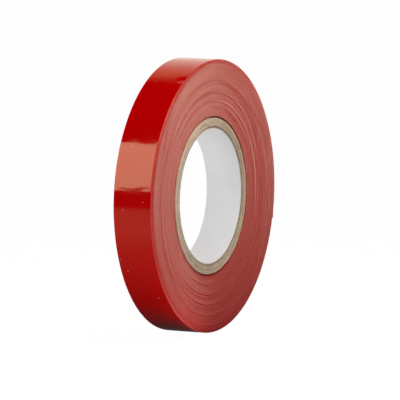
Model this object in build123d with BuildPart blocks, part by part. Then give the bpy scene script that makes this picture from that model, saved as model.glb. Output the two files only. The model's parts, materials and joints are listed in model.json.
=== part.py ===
from build123d import *
from math import cos, radians, sin
import os

# A roll of PVC electrical tape, 12 mm wide, wound on a paperboard core and standing on
# its rim. The roll's axis is Y, the origin is on the axis at the middle of the outermost
# turn's width, and angles are measured about the axis from +X towards +Z. Lengths are in
# millimetres.

# Tape
roll_radius = 39.0
tape_width = 12.0
tape_thickness = 0.15

# The roll has slipped a little into a shallow dish: the turns all have the tape's width,
# but the inner ones stand further to the rear. The outermost turns and the innermost ones
# form a flat ring each, with an even slope between them.
dish_depth = 1.0
dish_outer_radius = 38.0
dish_inner_radius = 23.35

# Core: a tube wound from paperboard plies, with a white liner inside and a thin wrap
# outside. It is shorter than the tape is wide, so it stands back at both ends.
bore_radius = 19.25
liner_thickness = 0.25
ply_count = 6
ply_thickness = 0.45
wrap_thickness = 0.15
core_width = 11.0
core_front_recess = 0.2

# The tape's lead: its last stretch, which lifts off the roll. It is cut into short links
# with a hinge line between each two, and one at its root.
lead_root_angle = 75.0
link_count = 12
link_angle = 7.5
link_end_gap = 0.03
lead_clearance = 0.05

# Worked out from the sizes above
rim_front = -tape_width / 2
rim_rear = tape_width / 2
inner_front = rim_front + dish_depth
inner_rear = rim_rear + dish_depth
core_front = inner_front + core_front_recess
core_middle = core_front + core_width / 2
ply_radius = bore_radius + liner_thickness
wrap_radius = ply_radius + ply_count * ply_thickness
core_radius = wrap_radius + wrap_thickness
seat_radius = roll_radius - tape_thickness - lead_clearance
lead_angle = link_count * link_angle
lead_tip_angle = lead_root_angle - lead_angle

# A plane across the roll at a distance along its axis: X to the right, Z upwards.
ROLL_SECTION = Plane.XZ


def polar(radius, angle):
    """The point of a section at a radius and an angle in degrees."""
    return (radius * cos(radians(angle)), radius * sin(radians(angle)))


def save(builder, name):
    """Labels a finished piece and writes it to its own file."""
    builder.part.label = name
    export_step(builder.part, f"parts/{name}.step")


def core_tube(name, inner_radius, thickness):
    """One layer of the core, a plain tube about the roll's axis."""
    with BuildPart() as layer:
        with BuildSketch(ROLL_SECTION.offset(-core_middle)):
            Circle(inner_radius + thickness)
            Circle(inner_radius, mode=Mode.SUBTRACT)
        extrude(amount=core_width / 2, both=True)
    save(layer, name)


def lead_link(name, number):
    """One short link of the lead, curved to the roll. Link 1 is the one at the root."""
    end_gap_angle = link_end_gap / radians(1) / roll_radius
    high = lead_root_angle - (number - 1) * link_angle - end_gap_angle / 2
    low = lead_root_angle - number * link_angle + end_gap_angle / 2
    inner_radius = roll_radius - tape_thickness
    with BuildPart() as link:
        with BuildSketch(ROLL_SECTION):
            with BuildLine():
                CenterArc((0, 0), roll_radius, low, high - low)
                Line(polar(roll_radius, high), polar(inner_radius, high))
                CenterArc((0, 0), inner_radius, low, high - low)
                Line(polar(inner_radius, low), polar(roll_radius, low))
            make_face()
        extrude(amount=tape_width / 2, both=True)
    save(link, name)


def wound_turns():
    """All the turns that stay wound.

    The outside is the last turn's spiral: it falls from the full radius at the lead's
    root, round the back of the roll, to the seat that the lead lies on. The step between
    them is the root's own end, one thickness of tape high. Both side faces follow the dish.
    """
    spiral_start = lead_root_angle
    spiral_end = lead_tip_angle + 360
    spiral_middle = (spiral_start + spiral_end) / 2
    middle_radius = (roll_radius + seat_radius) / 2
    with BuildPart() as turns:
        with BuildSketch(ROLL_SECTION):
            with BuildLine():
                ThreePointArc(
                    polar(roll_radius, spiral_start),
                    polar(middle_radius, spiral_middle),
                    polar(seat_radius, spiral_end),
                )
                CenterArc((0, 0), seat_radius, lead_tip_angle, lead_angle)
                Line(polar(seat_radius, lead_root_angle), polar(roll_radius, lead_root_angle))
            make_face()
            Circle(core_radius, mode=Mode.SUBTRACT)
        extrude(amount=tape_width / 2 + dish_depth, both=True)
        with BuildSketch(Plane.XY):
            with BuildLine():
                Polyline(
                    (0, inner_front),
                    (dish_inner_radius, inner_front),
                    (dish_outer_radius, rim_front),
                    (roll_radius + tape_thickness, rim_front),
                    (roll_radius + tape_thickness, rim_rear),
                    (dish_outer_radius, rim_rear),
                    (dish_inner_radius, inner_rear),
                    (0, inner_rear),
                    close=True,
                )
            make_face()
        revolve(axis=Axis.Y, mode=Mode.INTERSECT)
    save(turns, "wound_turns")


os.makedirs("parts", exist_ok=True)
core_tube("core_liner", bore_radius, liner_thickness)
for ply in range(ply_count):
    core_tube(f"core_ply_{ply + 1}", ply_radius + ply * ply_thickness, ply_thickness)
core_tube("core_wrap", wrap_radius, wrap_thickness)
wound_turns()
for link_number in range(1, link_count + 1):
    lead_link(f"lead_link_{link_number:02d}", link_number)
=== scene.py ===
import json
from math import atan2, cos, exp, hypot, pi, radians, sin, tau

import bmesh
import bpy
from mathutils import Matrix, Vector, noise


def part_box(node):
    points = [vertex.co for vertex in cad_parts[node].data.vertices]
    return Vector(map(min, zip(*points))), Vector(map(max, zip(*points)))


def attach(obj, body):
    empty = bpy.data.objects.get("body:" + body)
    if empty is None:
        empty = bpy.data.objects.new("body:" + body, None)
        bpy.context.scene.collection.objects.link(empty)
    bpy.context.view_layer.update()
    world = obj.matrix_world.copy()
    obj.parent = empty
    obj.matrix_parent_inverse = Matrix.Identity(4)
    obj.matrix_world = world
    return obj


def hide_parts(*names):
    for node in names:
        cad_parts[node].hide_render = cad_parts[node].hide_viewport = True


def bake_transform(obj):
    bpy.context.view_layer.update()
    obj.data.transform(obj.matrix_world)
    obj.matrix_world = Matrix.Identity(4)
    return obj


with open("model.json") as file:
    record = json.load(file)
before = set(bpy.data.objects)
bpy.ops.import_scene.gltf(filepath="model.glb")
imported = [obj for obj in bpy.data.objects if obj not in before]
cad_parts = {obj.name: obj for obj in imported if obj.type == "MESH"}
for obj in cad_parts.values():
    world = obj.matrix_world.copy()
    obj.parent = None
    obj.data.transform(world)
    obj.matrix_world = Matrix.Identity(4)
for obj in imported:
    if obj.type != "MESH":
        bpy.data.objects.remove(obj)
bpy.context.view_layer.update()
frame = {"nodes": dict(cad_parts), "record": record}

MM = 0.001

# --- What the frame says ---------------------------------------------------------------
# The roll stands on its rim. Its axis is Y, and angles are taken about it from +X towards
# +Z, in degrees. Lengths are in millimetres until they reach a mesh, a material or the
# stage, whose own places and sizes are in metres.

JOINTS = {j["name"]: j for j in frame["record"]["behaviour"]["joints"]}
LINKS = sorted(n for n in frame["nodes"] if n.startswith("lead_link_"))
PLIES = sorted(n for n in frame["nodes"] if n.startswith("core_ply_"))


def radii(node):
    """A CAD node's smallest and largest radius about the roll's axis."""
    found = [hypot(v.co.x, v.co.z) / MM for v in frame["nodes"][node].data.vertices]
    return min(found), max(found)


def depths(node):
    """A CAD node's front and rear Y."""
    low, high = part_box(node)
    return low.y / MM, high.y / MM


def hinge_angle(joint):
    """The angle about the roll's axis at which a joint of the lead stands."""
    x, _, z = JOINTS[joint]["pos_m"]
    return atan2(z, x) * 180 / pi


PACK_BORE, ROLL_RADIUS = radii("wound_turns")
RIM_FRONT, RIM_REAR = depths(LINKS[0])
_, PACK_REAR = depths("wound_turns")
HINGES = [hinge_angle(joint) for joint in sorted(JOINTS)]
LINK_ANGLE = HINGES[0] - HINGES[1]
# Each stretch of the lead is centred on its hinge, and the last one reaches the tip.
ROOT_ANGLE = HINGES[0] + LINK_ANGLE / 2
TIP_ANGLE = HINGES[-1] - LINK_ANGLE

# --- The tape's sizes ------------------------------------------------------------------
TAPE_WIDTH = RIM_REAR - RIM_FRONT
FILM_THICKNESS = 0.15
TURNS = 104
# The first turn's radius clears the core. The strip climbs by one pitch a turn, so the
# lead, which lies on the last turn, starts TURNS + 1 pitches further out.
CORE_CLEARANCE = 0.01
FIRST_RADIUS = PACK_BORE + CORE_CLEARANCE
PITCH = (ROLL_RADIUS - FIRST_RADIUS) / (TURNS + 1)
# The turns at which the middle and the outer piece of the strip begin.
MIDDLE_FROM, OUTER_FROM = 50, 98
DISH_OUTER_RADIUS, DISH_INNER_RADIUS = 38.0, 23.35
DISH_DEPTH = PACK_REAR - RIM_REAR

# --- Helpers ---------------------------------------------------------------------------


def clamp(value):
    return min(1.0, max(0.0, value))


def ease(value):
    """A smooth step from 0 at 0 to 1 at 1."""
    value = clamp(value)
    return value * value * (3 - 2 * value)


def angle_off(degrees, centre):
    """How far an angle is from another, between -180 and 180."""
    return (degrees - centre + 180) % 360 - 180


def around(degrees, centre, half_width):
    """1 at an angle and smoothly 0 beyond half_width each side of it."""
    return 1 - ease(abs(angle_off(degrees, centre)) / half_width)


def value_noise(x, y, z=0.0):
    """Smooth noise between -1 and 1."""
    return noise.noise((x, y, z))


def direction(degrees):
    """The X and Z of a unit length at an angle."""
    return cos(radians(degrees)), sin(radians(degrees))


def turned(radius, degrees, y):
    """The point at a radius and an angle about the roll's axis."""
    x, z = direction(degrees)
    return radius * x, y, radius * z


def add_mesh(name, points, faces, body, materials, sharp, replaced):
    """A piece from points in millimetres. It rides on a CAD body, or on none yet."""
    mesh = bpy.data.meshes.new(name)
    mesh.from_pydata([(x * MM, y * MM, z * MM) for x, y, z in points], [], faces)
    work = bmesh.new()
    work.from_mesh(mesh)
    bmesh.ops.recalc_face_normals(work, faces=work.faces)
    work.to_mesh(mesh)
    work.free()
    mesh.shade_smooth()
    mesh.set_sharp_from_angle(angle=radians(sharp))
    for material in materials:
        mesh.materials.append(material)
    piece = bpy.data.objects.new(name, mesh)
    bpy.context.scene.collection.objects.link(piece)
    if body:
        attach(piece, body)
    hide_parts(*replaced)
    return piece


# --- The strip's slit edges ------------------------------------------------------------
# Across one turn's edge, by share of the pitch: the groove beside the turn below, which
# falls back by the second number, then two points on the crest.
EDGE_STEPS = ((0.0, 0.007), (0.3, 0.0), (0.75, 0.001))
# The strip wanders from side to side as it is wound: height, waves a turn and seed.
WANDER_WAVES = ((0.006, 3.1, 5.2), (0.004, 7.3, 11.7), (0.030, 0.61, 2.9))
# Unevenness of the whole face: height, size of the circle it is taken on, waves outwards.
FACE_WAVES = ((0.035, 1.6, 0.16), (0.02, 4, 0.9))
# The outermost turns' edges fall back towards the rim, by this much over this many turns.
SHOULDER_FALL, SHOULDER_TURNS, SHOULDER_POWER = 0.15, 3.6, 1.15
# The first turns' edges fall back beside the core, from one number of turns to another.
BORE_FALL, BORE_FALL_FROM, BORE_FALL_TO = 0.7, 0.8, 3.2
# Slack places between turns: turns wound, depth and half width in turns. The second one
# sets the outer ring apart.
RING_GAP_TURN = TURNS - 2.2
RING_GAP_RADIUS = FIRST_RADIUS + PITCH * RING_GAP_TURN
GAPS = ((OUTER_FROM, 0.03, 0.7), (RING_GAP_TURN, 0.12, 0.45))
# Turns that slipped while the roll was wound: radius as a share of the roll's, height,
# the long slope's width (outwards, or inwards where it is negative), the middle angle of
# the stretch and half its length.
SLIPS = (
    (0.836, 0.085, 0.50, 88, 52),
    (0.753, 0.090, 0.55, 84, 78),
    (0.690, 0.075, 0.50, 92, 84),
    (0.655, 0.040, 0.40, 55, 60),
    (0.620, 0.030, 0.40, 110, 50),
    (0.905, 0.080, 0.30, 147, 12),
    (0.870, 0.085, 0.30, 152, 10),
    (0.930, 0.070, 0.28, 139, 11),
    (0.800, 0.080, 0.35, 150, 22),
    (0.720, 0.045, 0.40, 158, 40),
    (0.946, 0.085, -0.50, 282, 46),
    (0.874, 0.075, -0.50, 268, 44),
    (0.794, 0.095, -0.55, 266, 50),
    (0.722, 0.090, -0.50, 262, 56),
    (0.650, 0.080, -0.45, 255, 60),
    (0.900, 0.045, 0.60, 345, 60),
    (0.815, 0.060, 0.60, 338, 48),
    (0.765, 0.050, 0.50, 322, 40),
    (0.700, 0.055, 0.50, 10, 46),
    (0.850, 0.040, -0.60, 200, 60),
    (0.775, 0.040, -0.60, 205, 50),
)
# A slip's short side, and how many widths away it has died out on either side.
SLIP_STEP, SLIP_REACH = 0.10, 2.5


def dish(radius):
    """How far a turn of this radius sits to the rear of the rim."""
    share = (DISH_OUTER_RADIUS - radius) / (DISH_OUTER_RADIUS - DISH_INNER_RADIUS)
    return DISH_DEPTH * clamp(share)


def slip(radius, degrees):
    """How far slipped turns stand proud: a step on one side and a long slope on the
    other."""
    total = 0.0
    for share, height, slope, middle, half_length in SLIPS:
        off = (radius - share * ROLL_RADIUS) * (1 if slope > 0 else -1)
        width = abs(slope) if off > 0 else SLIP_STEP
        if abs(off) < SLIP_REACH * width:
            ridge = height * exp(-((off / width) ** 2))
            total += ridge * around(degrees, middle, half_length)
    return total


def wander(wound):
    """Side-to-side wander of the strip, by the number of turns wound."""
    return sum(
        height * value_noise(wound * waves, seed) for height, waves, seed in WANDER_WAVES
    )


def unevenness(radius, degrees):
    """Slow rise and fall of the face, which neighbouring turns share."""
    x, z = direction(degrees)
    return sum(
        height * value_noise(size * x, size * z, radius * waves)
        for height, size, waves in FACE_WAVES
    )


def shoulder(wound):
    """Fall-back of the last few turns' edges, which rounds the rim."""
    part = 1 - (TURNS + 1 - wound) / SHOULDER_TURNS
    return SHOULDER_FALL * clamp(part) ** SHOULDER_POWER


def ring_gap(wound):
    """Fall-back of slack turns, and of the first ones, which leave a narrow gap beside
    the core."""
    part = (wound - BORE_FALL_FROM) / (BORE_FALL_TO - BORE_FALL_FROM)
    fall = BORE_FALL * (1 - ease(part))
    for place, depth, half_width in GAPS:
        off = (wound - place) / half_width
        fall += depth * exp(-off * off)
    return fall


def edge_y(wound, step_depth, radius, degrees, side):
    """Y of the strip's front (side -1) or rear (side +1) edge."""
    rim = RIM_FRONT if side < 0 else RIM_REAR
    fall = step_depth + shoulder(wound) + ring_gap(wound)
    own = wander(wound) + unevenness(radius, degrees) + side * slip(radius, degrees)
    return rim + dish(radius) + own - side * fall


# --- The strip's outer surface ---------------------------------------------------------
# The surface's rows across the tape, as shares of its width, closer towards the edges.
ROW_COUNT = 22
ROWS = [0.5 - 0.5 * cos(pi * k / ROW_COUNT) for k in range(ROW_COUNT + 1)]
# Waves of the surface: height, size of the circle they are taken on, waves across.
WALL_WAVES = ((0.020, 5.0, 0.10), (0.007, 16, 0.22), (0.0016, 60, 0.9))
# Slitting leaves the edges pressed down a little.
CURL_FALL, CURL_WIDTH = 0.015, 0.05
# A dent at the front edge: its angle, half length, reach across the tape and depth.
NICK_ANGLE, NICK_HALF_ANGLE, NICK_REACH, NICK_DEPTH = 117.3, 1.7, 3.52, 0.22
# Where the outermost turn is slightly rumpled: middle angle, half length and height.
WRINKLES = ((152.0, 5.0, 0.020), (172.5, 5.0, 0.026), (182.0, 4.0, 0.012))
# A rumple's own waves: weight, waves a degree, waves across.
WRINKLE_WAVES = ((1.0, 1.1, 0.34), (0.6, 2.6, 0.8))


def wall_relief(degrees, y, share):
    """Height of the tape's surface over a true cylinder."""
    x, z = direction(degrees)
    waves = sum(
        height * value_noise(size * x, y * across, size * z)
        for height, size, across in WALL_WAVES
    )
    edge = min(share, 1 - share) * TAPE_WIDTH
    curl = CURL_FALL * exp(-edge / CURL_WIDTH)
    for middle, half, height in WRINKLES:
        near = around(degrees, middle, half)
        if near:
            waves += height * near * sum(
                weight * value_noise(degrees * along, y * across, middle)
                for weight, along, across in WRINKLE_WAVES
            )
    along = angle_off(degrees, NICK_ANGLE) / NICK_HALF_ANGLE
    across = (y - RIM_FRONT) / NICK_REACH
    nick = NICK_DEPTH * exp(-along * along) * (1 - ease(across))
    return waves - curl - nick


# --- The wound turns -------------------------------------------------------------------
TURN_COLUMNS, OUTER_COLUMNS = 256, 512
TURN_SHARP, LEAD_SHARP, CORE_SHARP = 62, 50, 50


def wound_piece(name, first, last, columns, materials):
    """A closed mesh of the strip's turns from first to last, wound as one spiral.

    Its faces are the two sides, with each turn's edge steps as rows, the inner and the
    outer wall, and a step at the root's angle where either wall starts and ends.
    """
    outermost = last == TURNS
    steps = len(EDGE_STEPS)
    rows = (last - first) * steps
    points, faces, edge_points = [], [], {}

    def add_point(place):
        points.append(place)
        return len(points) - 1

    def edge_vertex(row, column, side):
        """The vertex of an edge. A turn's last column is the next turn's first one."""
        if column == columns:
            row, column = row + steps, 0
        key = (side, row, column)
        if key not in edge_points:
            turn, step = divmod(row, steps)
            across, depth = EDGE_STEPS[step]
            wound = first + turn + column / columns + across
            radius = FIRST_RADIUS + PITCH * wound
            degrees = ROOT_ANGLE - 360 * column / columns
            y = edge_y(wound, depth, radius, degrees, side)
            if outermost and row in (rows, rows + steps):
                radius += wall_relief(degrees, y, 0.0)
            edge_points[key] = add_point(turned(radius, degrees, y))
        return edge_points[key]

    def add_wall(row, shares):
        """The wall at a row of the spiral. Returns its first and last line across."""
        lines = []
        for column in range(columns + 1):
            front, rear = edge_vertex(row, column, -1), edge_vertex(row, column, 1)
            y_front, y_rear = points[front][1], points[rear][1]
            degrees = ROOT_ANGLE - 360 * column / columns
            radius = FIRST_RADIUS + PITCH * (first + row / steps + column / columns)
            line = [front]
            for share in shares[1:-1]:
                y = y_front + (y_rear - y_front) * share
                height = wall_relief(degrees, y, share)
                line.append(add_point(turned(radius + height, degrees, y)))
            lines.append(line + [rear])
        for a, b in zip(lines, lines[1:]):
            for k in range(len(a) - 1):
                faces.append((a[k], a[k + 1], b[k + 1], b[k]))
        return lines[0], lines[-1]

    for side in (-1, 1):
        for column in range(columns):
            for row in range(rows):
                faces.append(
                    (
                        edge_vertex(row, column, side),
                        edge_vertex(row + 1, column, side),
                        edge_vertex(row + 1, column + 1, side),
                        edge_vertex(row, column + 1, side),
                    )
                )
    plain = (0.0, 1.0)
    for row, shares in ((0, plain), (rows, ROWS if outermost else plain)):
        start, end = add_wall(row, shares)
        fronts = [edge_vertex(row + k, 0, -1) for k in range(steps + 1)]
        rears = [edge_vertex(row + k, 0, 1) for k in range(steps + 1)]
        if shares is plain:
            for k in range(steps):
                faces.append((fronts[k], fronts[k + 1], rears[k + 1], rears[k]))
        else:
            faces.append((*fronts, end[1], start[1]))
            for k in range(1, len(start) - 2):
                faces.append((start[k], end[k], end[k + 1], start[k + 1]))
            faces.append((*rears, end[-2], start[-2]))
    return add_mesh(
        name, points, faces, "roll", materials, TURN_SHARP, ["wound_turns"]
    )


# --- The lead --------------------------------------------------------------------------
LINK_COLUMNS = 24
TIP_LIFT, TIP_LIFT_ANGLE = 0.32, 6.0


def lead_radius(degrees):
    """The lead's outer radius: it goes on with the spiral, and its tip lifts slightly."""
    lift = TIP_LIFT * ease((TIP_ANGLE + TIP_LIFT_ANGLE - degrees) / TIP_LIFT_ANGLE) ** 2
    return ROLL_RADIUS + PITCH * (ROOT_ANGLE - degrees) / 360 + lift


def lead_piece(name, start_angle, end_angle, replaced, materials):
    """One stretch of the strip's outer end, a closed mesh, film outside and adhesive
    underneath."""
    columns = round(LINK_COLUMNS * (start_angle - end_angle) / LINK_ANGLE)
    count = len(ROWS)
    per_column = 2 * count
    points, faces, tacky = [], [], []
    for column in range(columns + 1):
        degrees = start_angle + (end_angle - start_angle) * column / columns
        radius = lead_radius(degrees)
        wound = TURNS + 1 + (ROOT_ANGLE - degrees) / 360
        y_front = edge_y(wound, 0.0, radius, degrees, -1)
        y_rear = edge_y(wound, 0.0, radius, degrees, 1)
        for drop in (0.0, FILM_THICKNESS):
            for share in ROWS:
                y = y_front + (y_rear - y_front) * share
                height = wall_relief(degrees, y, share)
                points.append(turned(radius + height - drop, degrees, y))
    for column in range(columns):
        a, b = column * per_column, (column + 1) * per_column
        a_under, b_under = a + count, b + count
        for k in range(count - 1):
            faces.append((a + k, a + k + 1, b + k + 1, b + k))
            tacky.append(len(faces))
            faces.append((a_under + k, b_under + k, b_under + k + 1, a_under + k + 1))
        faces.append((a, b, b_under, a_under))
        faces.append((a_under - 1, a_under + count - 1, b_under + count - 1, b_under - 1))
    for over in (0, columns * per_column):
        under = over + count
        for k in range(count - 1):
            faces.append((over + k, over + k + 1, under + k + 1, under + k))
    piece = add_mesh(
        name, points, faces, None, materials, LEAD_SHARP, replaced
    )
    for index in tacky:
        piece.data.polygons[index].material_index = 1
    return piece


# --- The core --------------------------------------------------------------------------
TUBE_COLUMNS = 300
# A tube's rows: shares of its wall from the bore outwards, and of its length.
WALL_SHARES = (0.0, 0.12, 0.3, 0.5, 0.7, 0.88, 1.0)
HALF_LENGTH_SHARES = (0.0, 0.004, 0.015, 0.05, 0.12, 0.22, 0.35)
LENGTH_SHARES = (
    *HALF_LENGTH_SHARES, 0.5, *(1 - share for share in reversed(HALF_LENGTH_SHARES))
)
# Fraying of a cut end: weight, size of the circle it is taken on, and how far the noise
# moves on from one end to the other and from the bore outwards.
FRAY_WAVES = ((0.6, 9, 1, 1.5), (0.5, 34, 7, 4), (0.4, 110, 3, 9))
# Cockling of the bore's paper: weight, size of the circle, waves along.
COCKLE_WAVES = ((1.0, 2.2, 0.12), (0.4, 7, 0.3))


def paper_tube(name, node, material, seed, profile, fray, cockle=0.0, stand=0.0):
    """A closed paper tube, one layer of the core.

    profile is how far the ends' inner and outer corners fall back, and how much of the
    wall is rounded over. fray is the ends' roughness. cockle is how far the bore's
    surface yields, only ever outwards. stand is how far the front end stands proud of
    the CAD tube's.
    """
    inner, outer = radii(node)
    front, rear = depths(node)
    fall_inner, fall_outer, round_over = profile
    thickness = outer - inner

    def end_fall(share):
        lip_in = max(0.0, 1 - share * thickness / round_over)
        lip_out = max(0.0, 1 - (1 - share) * thickness / round_over)
        return fall_inner * lip_in**2 + fall_outer * lip_out**2

    def end_y(x, z, side, share):
        rough = fray * sum(
            weight * value_noise(size * x, size * z, seed + by_end * side + by_share * share)
            for weight, size, by_end, by_share in FRAY_WAVES
        )
        rim = front - stand if side < 0 else rear
        return rim - side * (end_fall(share) + rough)

    points = []
    for column in range(TUBE_COLUMNS):
        degrees = 360 * column / TUBE_COLUMNS
        x, z = direction(degrees)
        loop = []
        for share in WALL_SHARES:
            loop.append((inner + thickness * share, end_y(x, z, -1, share)))
        y_front, y_rear = end_y(x, z, -1, 1.0), end_y(x, z, 1, 1.0)
        for part in LENGTH_SHARES[1:-1]:
            loop.append((outer, y_front + (y_rear - y_front) * part))
        for share in reversed(WALL_SHARES):
            loop.append((inner + thickness * share, end_y(x, z, 1, share)))
        y_front, y_rear = end_y(x, z, -1, 0.0), end_y(x, z, 1, 0.0)
        for part in LENGTH_SHARES[-2:0:-1]:
            y = y_front + (y_rear - y_front) * part
            dent = cockle * sum(
                weight * value_noise(size * x, size * z, seed + y * along)
                for weight, size, along in COCKLE_WAVES
            )
            loop.append((inner + abs(dent), y))
        points.extend(turned(radius, degrees, y) for radius, y in loop)
    size = len(points) // TUBE_COLUMNS
    faces = []
    for column in range(TUBE_COLUMNS):
        a, b = column * size, ((column + 1) % TUBE_COLUMNS) * size
        for k in range(size):
            m = (k + 1) % size
            faces.append((a + k, a + m, b + m, b + k))
    return add_mesh(name, points, faces, "roll", [material], CORE_SHARP, [node])


# --- Materials -------------------------------------------------------------------------


class Nodes:
    """A short way to write a node tree."""

    def __init__(self, tree):
        self.tree = tree

    def add(self, kind, inputs=None, **settings):
        node = self.tree.nodes.new(kind)
        for key, value in settings.items():
            setattr(node, key, value)
        for key, value in (inputs or {}).items():
            self.put(node.inputs[key], value)
        return node

    def put(self, socket, value):
        if isinstance(value, bpy.types.NodeSocket):
            self.tree.links.new(value, socket)
        else:
            socket.default_value = value

    def math(self, operation, a, b=0.0):
        node = self.add("ShaderNodeMath", operation=operation)
        self.put(node.inputs[0], a)
        self.put(node.inputs[1], b)
        return node.outputs[0]

    def along(self, a, b, way):
        """How far a point on two axes lies along a way across them."""
        return self.math(
            "ADD", self.math("MULTIPLY", a, way[0]), self.math("MULTIPLY", b, way[1])
        )

    def distance(self, a, b):
        """The square root of two sockets' squares."""
        squares = self.math("MULTIPLY", a, a), self.math("MULTIPLY", b, b)
        return self.math("SQRT", self.math("ADD", *squares))

    def noise(self, vector, scale, detail=3.0, roughness=0.5):
        node = self.add(
            "ShaderNodeTexNoise",
            {"Vector": vector, "Scale": scale, "Detail": detail, "Roughness": roughness},
        )
        return node.outputs["Fac"]

    def fit(self, value, low, high, to_low=0.0, to_high=1.0):
        """A value's place between low and high, moved to between two others."""
        node = self.add(
            "ShaderNodeMapRange",
            {
                "Value": value,
                "From Min": low,
                "From Max": high,
                "To Min": to_low,
                "To Max": to_high,
            },
        )
        return node.outputs["Result"]

    def mix(self, share, a, b):
        node = self.add("ShaderNodeMix", data_type="RGBA")
        self.put(node.inputs[0], share)
        self.put(node.inputs[6], a)
        self.put(node.inputs[7], b)
        return node.outputs[2]

    def seen_or_lit(self, lit, seen):
        """One shader for the camera and another for what lights the roll."""
        is_camera = self.add("ShaderNodeLightPath").outputs["Is Camera Ray"]
        mix = self.add("ShaderNodeMixShader", {"Fac": is_camera})
        self.put(mix.inputs[1], lit.outputs[0])
        self.put(mix.inputs[2], seen.outputs[0])
        return mix.outputs[0]


class RollMaterial(Nodes):
    """A material whose textures know their place on the roll: the radius and the depth
    along the axis are in millimetres."""

    def __init__(self, name):
        self.material = bpy.data.materials.new(name)
        self.material.use_nodes = True
        super().__init__(self.material.node_tree)
        self.shader = self.tree.nodes["Principled BSDF"]
        self.place = self.add("ShaderNodeTexCoord").outputs["Object"]
        parts = self.add("ShaderNodeSeparateXYZ", {"Vector": self.place})
        self.x, y, self.z = parts.outputs
        self.off_axis = self.distance(self.x, self.z)
        self.radius = self.math("MULTIPLY", self.off_axis, 1000.0)
        self.depth = self.math("MULTIPLY", y, 1000.0)

    def turn(self):
        """The angle about the axis, in turns."""
        return self.math("DIVIDE", self.math("ARCTAN2", self.z, self.x), tau)

    def apart(self, value, middle):
        """How far a value is from a middle, either way."""
        return self.math("ABSOLUTE", self.math("SUBTRACT", value, middle))

    def round_noise(self, across, circle, scale, detail=3.0, roughness=0.5):
        """Noise that is long around the roll and short across it, with no seam. It is
        taken on a circle of a given size, lifted by what varies across."""
        stretch = self.math("DIVIDE", circle, self.off_axis)
        point = self.add(
            "ShaderNodeCombineXYZ",
            {
                "X": self.math("MULTIPLY", self.x, stretch),
                "Y": self.math("MULTIPLY", self.z, stretch),
                "Z": across,
            },
        )
        return self.noise(point.outputs[0], scale, detail, roughness)

    def finish(self, colour, roughness, height, strength, distance):
        """Links a colour, a roughness and a bump of some metres to the shader."""
        self.put(self.shader.inputs["Base Color"], colour)
        self.put(self.shader.inputs["Roughness"], roughness)
        bump = self.add(
            "ShaderNodeBump",
            {"Height": height, "Strength": strength, "Distance": distance},
        )
        self.put(self.shader.inputs["Normal"], bump.outputs["Normal"])
        return self.material


def film_material():
    """Glossy red PVC film, with a few pale specks and a painted highlight of brighter
    red along its cut edges.
    """
    red, bright_red, deep_red = (
        (0.58, 0.0, 0.0006, 1), (0.63, 0.0, 0.001, 1), (0.57, 0.0, 0.0005, 1)
    )
    cut_highlight_red, speck_pink = (0.84, 0.045, 0.040, 1), (0.80, 0.42, 0.36, 1)
    film = RollMaterial("red_pvc_film")
    streaks = film.round_noise(film.depth, 3.0, 1.4, 4.0, 0.6)
    lines = film.round_noise(film.depth, 3.0, 9.0, 2.0)
    blotch = film.noise(film.place, 90.0)
    speck = film.noise(film.place, 1250.0, 0.0)
    grain = film.noise(film.place, 2600.0, 2.0)
    colour = film.mix(film.fit(streaks, 0.3, 0.7), red, bright_red)
    colour = film.mix(film.fit(blotch, 0.35, 0.75, 0.0, 0.5), colour, deep_red)
    off_middle = film.apart(film.depth, (RIM_FRONT + RIM_REAR) / 2)
    cut = TAPE_WIDTH / 2 - SHOULDER_FALL
    # A painted highlight: brighter red along the film's cut edges, where the corner catches
    # light.
    colour = film.mix(film.fit(off_middle, cut - 0.16, cut - 0.04), colour, cut_highlight_red)
    colour = film.mix(film.fit(speck, 0.845, 0.87, 0.0, 0.6), colour, speck_pink)
    film.shader.inputs["Specular Tint"].default_value = (1.0, 0.74, 0.46, 1)
    film.shader.inputs["IOR"].default_value = 1.5
    roughness = film.fit(blotch, 0.3, 0.7, 0.08, 0.13)
    height = film.math("ADD", grain, film.math("MULTIPLY", lines, 0.8))
    return film.finish(colour, roughness, height, 0.10, 0.00002)


def adhesive_material():
    """The tacky underside of the film."""
    dark_red, dull_red = (0.36, 0.006, 0.007, 1), (0.44, 0.018, 0.018, 1)
    tack = RollMaterial("red_pvc_adhesive")
    cloud = tack.noise(tack.place, 700.0, 4.0)
    streaks = tack.round_noise(tack.depth, 3.0, 4.0)
    colour = tack.mix(tack.fit(cloud, 0.3, 0.7), dark_red, dull_red)
    roughness = tack.fit(streaks, 0.3, 0.7, 0.38, 0.55)
    return tack.finish(colour, roughness, cloud, 0.25, 0.00005)


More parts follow.
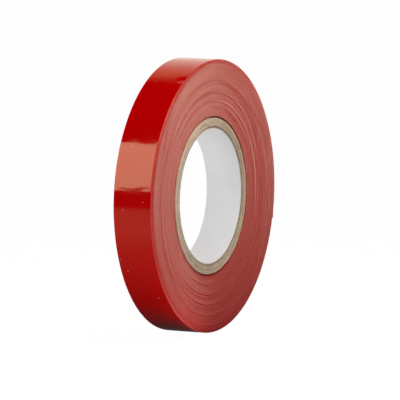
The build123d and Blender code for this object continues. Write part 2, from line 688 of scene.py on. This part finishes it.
def slit_edge_material():
    """The wound turns' slit edges: dusty pink, cleaner and redder towards the rim, with a
    painted highlight on the outermost ring and painted shade in the outer ring's gap and
    beside the core."""
    clean_red, dusty_pink = (0.58, 0.034, 0.030, 1), (0.64, 0.076, 0.064, 1)
    # The paler red at the rim is a painted highlight.
    blush_red, rim_highlight_red = (0.60, 0.026, 0.022, 1), (0.70, 0.070, 0.060, 1)
    # The dark red of the gap is painted shade, and so is the dark red beside the core.
    gap_shade_red, bore_shade_red = (0.42, 0.010, 0.008, 1), (0.32, 0.018, 0.014, 1)
    fleck_pink = (0.80, 0.45, 0.40, 1)
    edge = RollMaterial("red_pvc_slit_edge")
    wound = edge.math("DIVIDE", edge.math("SUBTRACT", edge.radius, FIRST_RADIUS), PITCH)
    wound = edge.math("ADD", wound, edge.turn())
    band = edge.round_noise(edge.radius, 1.6, 0.9, 3.0, 0.55)
    by_turn = edge.round_noise(wound, 0.9, 1.0, 2.0, 0.6)
    fine = edge.round_noise(edge.radius, 22.0, 2.2, 3.0, 0.6)
    grain = edge.noise(edge.place, 1500.0, 3.0, 0.6)
    fleck = edge.round_noise(edge.radius, 13.0, 3.4, 1.0)
    dust = 0.0
    for texture, weight in ((band, 0.66), (by_turn, 0.12), (fine, 0.16), (grain, 0.06)):
        part = edge.math("MULTIPLY", edge.fit(texture, 0.3, 0.7), weight)
        dust = edge.math("ADD", dust, part)
    # Where each tint lies, by radius, by distance from the outer ring's gap or by fleck. The
    # rim's tint is a painted highlight, and the gap's and the bore's are painted shade.
    from_gap = edge.apart(edge.radius, RING_GAP_RADIUS)
    blush = edge.fit(edge.radius, ROLL_RADIUS - 2.6, ROLL_RADIUS - 0.6, 0.0, 0.7)
    # A painted highlight along the outermost ring.
    painted_rim_highlight = edge.fit(edge.radius, ROLL_RADIUS - 0.62, ROLL_RADIUS - 0.50)
    # Painted shade in the outer ring's gap.
    painted_gap_shade = edge.fit(from_gap, 0.06, 0.18, 0.8, 0.0)
    # Painted shade on the first turns beside the core, where they fall back into a recess.
    painted_bore_shade = edge.fit(edge.radius, FIRST_RADIUS + 0.40, FIRST_RADIUS + 0.70, 1.0, 0.0)
    flecked = edge.fit(fleck, 0.70, 0.76, 0.0, 0.40)
    colour = edge.mix(dust, clean_red, dusty_pink)
    for share, tint in (
        (blush, blush_red),
        (painted_rim_highlight, rim_highlight_red),
        (painted_gap_shade, gap_shade_red),
        (painted_bore_shade, bore_shade_red),
        (flecked, fleck_pink),
    ):
        colour = edge.mix(share, colour, tint)
    edge.shader.inputs["Specular Tint"].default_value = (1.0, 0.92, 0.72, 1)
    roughness = edge.fit(grain, 0.3, 0.7, 0.17, 0.23)
    height = edge.math("ADD", grain, edge.math("MULTIPLY", fine, 0.7))
    return edge.finish(colour, roughness, height, 0.05, 0.00006)


def board_material(name, pale, dark, speck_colour, seed):
    """Kraft board: fibres that run round the tube, pale pulp and dark specks."""
    pulp_cream = (0.92, 0.84, 0.70, 1)
    board = RollMaterial(name)
    across = board.math("ADD", board.radius, seed)
    fibre = board.round_noise(across, 6.0, 2.2, 3.0, 0.65)
    cloud = board.round_noise(across, 3.0, 1.4)
    pulp = board.round_noise(across, 10.0, 1.7, 3.0, 0.6)
    speck = board.round_noise(across, 16.0, 1.7, 2.0)
    grain = board.noise(board.place, 1500.0, 3.0, 0.7)
    share = board.math(
        "ADD",
        board.math("MULTIPLY", board.fit(fibre, 0.32, 0.68), 0.55),
        board.math("MULTIPLY", board.fit(cloud, 0.3, 0.7), 0.45),
    )
    colour = board.mix(share, pale, dark)
    colour = board.mix(board.fit(grain, 0.50, 0.70, 0.0, 0.65), colour, dark)
    colour = board.mix(board.fit(pulp, 0.56, 0.70, 0.0, 0.7), colour, pulp_cream)
    colour = board.mix(board.fit(speck, 0.66, 0.72, 0.0, 0.75), colour, speck_colour)
    board.shader.inputs["Specular IOR Level"].default_value = 0.25
    roughness = board.fit(grain, 0.3, 0.7, 0.78, 0.95)
    height = board.math("ADD", fibre, board.math("MULTIPLY", grain, 0.6))
    return board.finish(colour, roughness, height, 0.8, 0.00014)


def liner_material():
    """Smooth white paper with a faint formation and a cream cut edge."""
    white, bright_white = (0.80, 0.80, 0.81, 1), (0.83, 0.83, 0.84, 1)
    fibre_grey, edge_cream = (0.7, 0.69, 0.67, 1), (0.80, 0.74, 0.66, 1)
    core_front, core_rear = depths("core_liner")
    half_length = (core_rear - core_front) / 2
    paper = RollMaterial("liner_paper")
    cloud = paper.noise(paper.place, 260.0, 5.0, 0.6)
    fibre = paper.noise(paper.place, 3200.0, 3.0, 0.7)
    off_middle = paper.apart(paper.depth, (core_front + core_rear) / 2)
    at_edge = paper.fit(off_middle, half_length - 0.10, half_length - 0.03)
    colour = paper.mix(paper.fit(cloud, 0.3, 0.7), white, bright_white)
    colour = paper.mix(paper.fit(fibre, 0.55, 0.8, 0.0, 0.15), colour, fibre_grey)
    colour = paper.mix(at_edge, colour, edge_cream)
    paper.shader.inputs["Specular IOR Level"].default_value = 0.3
    roughness = paper.fit(cloud, 0.3, 0.7, 0.55, 0.66)
    return paper.finish(colour, roughness, fibre, 0.18, 0.00004)


# --- Build the pieces ------------------------------------------------------------------
FILM = film_material()
ADHESIVE = adhesive_material()
SLIT_EDGE = slit_edge_material()
# Faces of the outer turns are film where their normal points this much out or in.
FILM_FACES = 0.6

wound_piece("tape_inner_turns", 0, MIDDLE_FROM, TURN_COLUMNS, [SLIT_EDGE])
wound_piece("tape_middle_turns", MIDDLE_FROM, OUTER_FROM, TURN_COLUMNS, [SLIT_EDGE])
outer_turns = wound_piece(
    "tape_outer_turns", OUTER_FROM, TURNS, OUTER_COLUMNS, [SLIT_EDGE, FILM]
)
for polygon in outer_turns.data.polygons:
    outwards = Vector((polygon.center.x, 0, polygon.center.z)).normalized()
    if abs(polygon.normal.dot(outwards)) > FILM_FACES:
        polygon.material_index = 1

for number, (joint, link, hinge) in enumerate(zip(sorted(JOINTS), LINKS, HINGES), 1):
    start_angle, bend_end = hinge + LINK_ANGLE / 2, hinge - LINK_ANGLE / 2
    end_angle = TIP_ANGLE if number == len(JOINTS) else bend_end
    strip = lead_piece(
        f"tape_lead_{number:02d}", start_angle, end_angle, [link], [FILM, ADHESIVE]
    )
    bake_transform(strip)

LINER_PROFILE, PLY_PROFILE, WRAP_PROFILE = (
    (0.0, 0.02, 0.08), (0.04, 0.12, 0.36), (0.05, 0.10, 0.08)
)
WRAP_PALE, WRAP_DARK = (0.86, 0.62, 0.42, 1), (0.70, 0.46, 0.30, 1)
WRAP_SPECK, PLY_SPECK = (0.30, 0.17, 0.10, 1), (0.16, 0.10, 0.06, 1)
PLY_PALE, PLY_DARK = (0.96, 0.76, 0.56), (0.60, 0.44, 0.30)
# From the bore outwards: each ply's tone, and how far its front end stands proud.
PLY_TONES = (0.56, 0.86, 1.00, 0.82, 1.00, 1.02)
PLY_STANDS = (0.06, 0.30, 0.24, 0.32, 0.24, 0.26)


def toned(colour, tone):
    """A colour made darker or paler as a whole."""
    return (*(tone * part for part in colour), 1)


paper_tube(
    "core_white_liner", "core_liner", liner_material(),
    seed=1.3, profile=LINER_PROFILE, fray=0.05, cockle=0.025,
)
for number, (node, tone, stand) in enumerate(zip(PLIES, PLY_TONES, PLY_STANDS)):
    board = board_material(
        f"kraft_{number + 1}",
        toned(PLY_PALE, tone),
        toned(PLY_DARK, tone),
        PLY_SPECK,
        seed=number * 5.3,
    )
    paper_tube(
        f"core_kraft_{number + 1}", node, board,
        seed=10.0 + number * 3.7, profile=PLY_PROFILE, fray=0.22, stand=stand,
    )
paper_tube(
    "core_tan_wrap", "core_wrap",
    board_material("wrap_kraft", WRAP_PALE, WRAP_DARK, WRAP_SPECK, seed=3.0),
    seed=40.1, profile=WRAP_PROFILE, fray=0.10, stand=0.16,
)

# --- Stage -----------------------------------------------------------------------------
# The camera sees an even white floor and backdrop. The roll sees others, which glow by
# patches and set what its film and its slit edges reflect. Lengths are in metres here.
FLOOR_HALF, FLOOR_CELLS, FLOOR_GAP = 3.0, 24, 0.0001
FLOOR_SEEN = (0.975, 0.980)
FLOOR_GREY = (0.045, 0.045, 0.045, 1)
# A sheet that ends along a level direction, in shade beneath the roll.
SHEET_WAY, SHEET_ENDS, SHEET_BEYOND = (-0.889, 0.457), (0.33, 0.44), 0.02
SHEET_GLOW, SHEET_SHADE, SHADE_REACH = 0.64, 0.05, (0.030, 0.110)
# A fan of warm light to the right of the axis, between two slopes of Y over X.
RIGHT_EDGE = (0.02, 0.06)
SWEEP_GLOW, SWEEP_TINT = 2.9, (1.0, 0.95, 0.78, 1)
SWEEP_RISE, SWEEP_FALL = (-0.58, -0.43), (-0.32, -0.18)
SWEEP_SPAN, SWEEP_NEAR = (0.10, 0.46), 0.1
# A patch at the roll's front foot, brightest close to it.
FRONT_EDGE, FRONT_SIDE_EDGE = (-0.007, -0.015), (-0.002, -0.016)
FRONT_FADE, FRONT_GLOW, FRONT_FAR_GLOW = (-0.010, -0.020), 3.2, 0.45
# A wedge behind the roll, brightest close to it, that ends before the film mirrors it.
REAR_SPREAD, REAR_EDGE, REAR_END = 0.5, (0.005, 0.013), (0.10, 0.15)
REAR_FADE, REAR_GLOW, REAR_FAR_GLOW = (0.016, 0.036), 5.0, 0.8

# The world that the roll sees: a backdrop, warmer higher up, and a weak fill in front.
BACKDROP_WAY, BACKDROP_EDGE = (0.891, 0.454), (0.35, 0.66)
BACKDROP_LOW, BACKDROP_HIGH = (1.12, 1.05, 0.92, 1), (0.96, 0.57, 0.33, 1)
WARMER_FROM, WARMER_TO = radians(26), radians(45)
BACKDROP_TOP_FROM, BACKDROP_TOP_TO = radians(47), radians(54.5)
FILL_GLOW, FILL_EDGE = (0.07, 0.07, 0.07, 1), (0.15, -0.30)
SEEN_WHITE = 0.99
WHITE, BLACK = (1, 1, 1, 1), (0, 0, 0, 1)


def floor_glow(nodes, x, y):
    """The colour and the strength of what the roll sees of the floor."""
    span = nodes.distance(x, y)
    sheet = nodes.fit(nodes.along(x, y, SHEET_WAY), *SHEET_ENDS, 1.0, SHEET_BEYOND)
    shade = nodes.fit(span, *SHADE_REACH, SHEET_SHADE, SHEET_GLOW)
    glow = nodes.math("MULTIPLY", sheet, shade)

    slope = nodes.math("DIVIDE", y, x)
    sweep = nodes.fit(slope, *SWEEP_RISE, 0.0, SWEEP_GLOW)
    sweep = nodes.math("MULTIPLY", sweep, nodes.fit(slope, *SWEEP_FALL, 1.0, 0.0))
    by_span = nodes.fit(span, *SWEEP_SPAN, SWEEP_NEAR, 1.0)
    sweep = nodes.math("MULTIPLY", sweep, by_span)
    on_right = nodes.fit(x, *RIGHT_EDGE)
    glow = nodes.mix(on_right, glow, sweep)

    in_front = nodes.fit(y, *FRONT_EDGE)
    in_front = nodes.math("MULTIPLY", in_front, nodes.fit(x, *FRONT_SIDE_EDGE))
    near_front = nodes.fit(y, *FRONT_FADE, FRONT_GLOW, FRONT_FAR_GLOW)
    glow = nodes.mix(in_front, glow, near_front)

    aside = nodes.math("MULTIPLY", nodes.math("ABSOLUTE", x), REAR_SPREAD)
    in_rear = nodes.fit(nodes.math("SUBTRACT", y, aside), *REAR_EDGE)
    in_rear = nodes.math("MULTIPLY", in_rear, nodes.fit(y, *REAR_END, 1.0, 0.0))
    near_rear = nodes.fit(y, *REAR_FADE, REAR_GLOW, REAR_FAR_GLOW)
    glow = nodes.mix(in_rear, glow, near_rear)
    return nodes.mix(on_right, WHITE, SWEEP_TINT), glow


def floor_material():
    """White paper to the camera, and to the roll a floor that glows by patches."""
    material = bpy.data.materials.new("stage_paper")
    material.use_nodes = True
    tree = material.node_tree
    tree.nodes.remove(tree.nodes["Principled BSDF"])
    nodes = Nodes(tree)
    place = nodes.add("ShaderNodeTexCoord").outputs["Object"]
    parts = nodes.add("ShaderNodeSeparateXYZ", {"Vector": place})
    mottle = nodes.fit(nodes.noise(place, 60.0), 0.2, 0.8, *FLOOR_SEEN)
    paper = nodes.add("ShaderNodeEmission", {"Color": WHITE, "Strength": mottle})
    matte = nodes.add("ShaderNodeBsdfDiffuse", {"Color": FLOOR_GREY})
    seen = nodes.add("ShaderNodeAddShader")
    nodes.put(seen.inputs[0], paper.outputs[0])
    nodes.put(seen.inputs[1], matte.outputs[0])
    tint, glow = floor_glow(nodes, parts.outputs[0], parts.outputs[1])
    lit = nodes.add("ShaderNodeEmission", {"Color": tint, "Strength": glow})
    surface = tree.nodes["Material Output"].inputs["Surface"]
    nodes.put(surface, nodes.seen_or_lit(lit, seen))
    return material


def stage_floor():
    """A plain white floor that the roll stands on."""
    points, faces = [], []
    cells = range(FLOOR_CELLS)
    steps = [FLOOR_HALF * (2 * k / FLOOR_CELLS - 1) for k in range(FLOOR_CELLS + 1)]
    for x in steps:
        for y in steps:
            points.append((x, y, -ROLL_RADIUS * MM - FLOOR_GAP))
    for i in cells:
        for j in cells:
            a = i * len(steps) + j
            b = a + len(steps)
            faces.append((a, b, b + 1, a + 1))
    mesh = bpy.data.meshes.new("stage_floor")
    mesh.from_pydata(points, [], faces)
    mesh.materials.append(floor_material())
    floor = bpy.data.objects.new("stage_floor", mesh)
    bpy.context.scene.collection.objects.link(floor)


def studio_world():
    """White where the camera looks, and a studio for the roll to reflect."""
    world = bpy.data.worlds.new("studio")
    bpy.context.scene.world = world
    world.use_nodes = True
    tree = world.node_tree
    tree.nodes.clear()
    nodes = Nodes(tree)
    way = nodes.add("ShaderNodeTexCoord").outputs["Generated"]
    x, y, z = nodes.add("ShaderNodeSeparateXYZ", {"Vector": way}).outputs
    warmer = nodes.fit(z, sin(WARMER_FROM), sin(WARMER_TO))
    backdrop = nodes.mix(warmer, BACKDROP_LOW, BACKDROP_HIGH)
    below_top = nodes.fit(z, sin(BACKDROP_TOP_FROM), sin(BACKDROP_TOP_TO), 1.0, 0.0)
    behind = nodes.fit(nodes.along(x, y, BACKDROP_WAY), *BACKDROP_EDGE)
    glow = nodes.mix(nodes.math("MULTIPLY", behind, below_top), BLACK, backdrop)
    glow = nodes.mix(nodes.fit(y, *FILL_EDGE), glow, FILL_GLOW)
    lit = nodes.add("ShaderNodeBackground", {"Color": glow, "Strength": 1.0})
    seen = nodes.add("ShaderNodeBackground", {"Color": WHITE, "Strength": SEEN_WHITE})
    output = nodes.add("ShaderNodeOutputWorld")
    nodes.put(output.inputs["Surface"], nodes.seen_or_lit(lit, seen))


def area_light(name, way, distance, size, radiance, colour=(1.0, 1.0, 1.0), up=(0, 0, 1)):
    """A soft rectangular light that faces the roll's middle, unseen by the camera. It
    stands some way off, and its size is its width and its height."""
    width, height = size
    light = bpy.data.lights.new(name, "AREA")
    light.shape = "RECTANGLE"
    light.size, light.size_y = width, height
    light.energy = radiance * pi * width * height
    light.color = colour
    lamp = bpy.data.objects.new(name, light)
    back = Vector(way).normalized()
    right = Vector(up).cross(back).normalized()
    facing = Matrix((right, back.cross(right), back)).transposed()
    lamp.matrix_world = Matrix.Translation(back * distance) @ facing.to_4x4()
    lamp.visible_camera = False
    bpy.context.scene.collection.objects.link(lamp)


stage_floor()
studio_world()
# The tall softbox to the left is the one whose reflection crosses the rim.
area_light(
    "softbox_left", (-0.7716, 0.484, 0.4131), distance=0.45, size=(0.13, 0.271),
    radiance=5.4, colour=(1.0, 0.98, 0.97), up=(0.488, 0, 0.873),
)
area_light(
    "softbox_front", (-0.10, -0.72, 0.69), distance=0.26, size=(0.16, 0.16),
    radiance=4.6, colour=(1.0, 0.99, 0.98),
)
area_light(
    "panel_front_left", (-0.55, -0.80, 0.22), distance=0.50, size=(0.34, 0.27),
    radiance=0.2,
)
area_light(
    "panel_rear_left", (-0.48, 0.87, 0.08), distance=0.45, size=(0.40, 0.12),
    radiance=2.0,
)
area_light(
    "panel_overhead", (0.10, -0.25, 0.96), distance=0.40, size=(0.20, 0.20),
    radiance=1.6, up=(0, 1, 0),
)

# --- Camera ----------------------------------------------------------------------------
CAMERA_AZIMUTH, CAMERA_ELEVATION = radians(-63.03), radians(6.52)
CAMERA_DISTANCE, CAMERA_LENS, CAMERA_SENSOR = 1423.4, 450.0, 36.0
CLIP_START, CLIP_END = 0.05, 20.0
# The camera aims beside the middle of the front rim, by this far to the right and down.
AIM_RIGHT, AIM_DOWN = -4.12, 1.06

back = Vector(
    (
        sin(CAMERA_AZIMUTH) * cos(CAMERA_ELEVATION),
        -cos(CAMERA_AZIMUTH) * cos(CAMERA_ELEVATION),
        sin(CAMERA_ELEVATION),
    )
)
right = Vector((0, 0, 1)).cross(back).normalized()
upward = back.cross(right)
aim = Vector((0, RIM_FRONT, 0)) + right * AIM_RIGHT - upward * AIM_DOWN
camera_data = bpy.data.cameras.new("camera")
camera_data.lens = CAMERA_LENS
camera_data.sensor_width = CAMERA_SENSOR
camera_data.clip_start, camera_data.clip_end = CLIP_START, CLIP_END
camera = bpy.data.objects.new("camera", camera_data)
camera.matrix_world = (
    Matrix.Translation((aim + back * CAMERA_DISTANCE) * MM)
    @ Matrix((right, upward, back)).transposed().to_4x4()
)
bpy.context.scene.collection.objects.link(camera)
bpy.context.scene.camera = camera
bpy.context.scene.view_settings.view_transform = "Standard"
